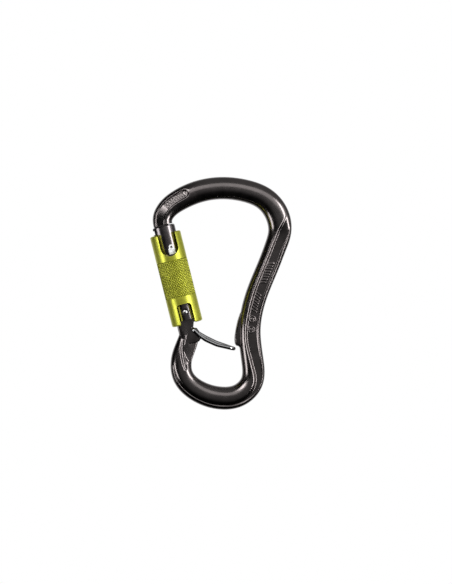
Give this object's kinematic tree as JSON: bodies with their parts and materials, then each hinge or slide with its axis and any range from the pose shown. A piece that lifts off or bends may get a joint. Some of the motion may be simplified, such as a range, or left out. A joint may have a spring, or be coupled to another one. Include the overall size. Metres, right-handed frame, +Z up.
{
  "type": "locking carabiner",
  "caption": "Pear-shaped belay carabiner with a sprung keylock gate, a lift-and-twist locking sleeve and a wire bar that keeps the belay loop in its small end.",
  "frame": {"origin": "inner apex of the main basket at mid thickness, where the rope or sling bears", "axes": "+Z up the carabiner as it hangs, +X from the gate towards the spine, +Y towards the back face"},
  "size_m": [0.0708, 0.0154, 0.1163],
  "materials": {
    "anodised_frame": "gloss anodised, dark grey",
    "anodised_gate": "gloss anodised, dark grey",
    "anodised_sleeve": "satin anodised, lime",
    "steel": "polished stainless"
  },
  "bodies": {
    "frame": {"frame": "anodised_frame"},
    "gate": {"gate": "anodised_gate", "hinge_rivet": "steel", "gate_spring": "steel", "sleeve_spring": "steel", "guide_pin": "steel"},
    "plunger": {"gate_plunger": "steel"},
    "sleeve_carrier": {"spring_washer": "steel"},
    "sleeve": {"locking_sleeve": "anodised_sleeve", "sleeve_retaining_ring": "steel"},
    "wire_bar": {"wire_bar": "steel"}
  },
  "joints": [
    {"name": "gate_hinge", "type": "hinge", "parent": "frame", "child": "gate", "pos_m": [-0.0195, 0, -0.05622], "axis": [0, 1, 0], "range_deg": [0, 25], "stiffness_Nm_per_rad": 0.08, "springref_deg": -51.57},
    {"name": "plunger_slide", "type": "slide", "parent": "gate", "child": "plunger", "axis": [-0.2428, 0, 0.9701], "range_m": [0, 0.001], "deforming": ["gate_spring"]},
    {"name": "sleeve_lift", "type": "slide", "parent": "gate", "child": "sleeve_carrier", "axis": [-0.2428, 0, 0.9701], "range_m": [0, 0.0035], "deforming": ["sleeve_spring"]},
    {"name": "sleeve_twist", "type": "hinge", "parent": "sleeve_carrier", "child": "sleeve", "pos_m": [-0.0195, 0, -0.05622], "axis": [-0.2428, 0, 0.9701], "range_deg": [0, 90], "stiffness_Nm_per_rad": 0.03, "springref_deg": -34.38},
    {"name": "wire_bar_swing", "type": "hinge", "parent": "frame", "child": "wire_bar", "pos_m": [-0.01562, 0, -0.06473], "axis": [0, 1, 0], "range_deg": [0, 30], "stiffness_Nm_per_rad": 0.02, "springref_deg": -45.84}
  ],
  "couplings": [
    {"joint": "plunger_slide", "follows": "gate_hinge", "m_per_rad": 0.0022918},
    {"joint": "sleeve_lift", "follows": "sleeve_twist", "m_per_rad": 0.0022282}
  ]
}
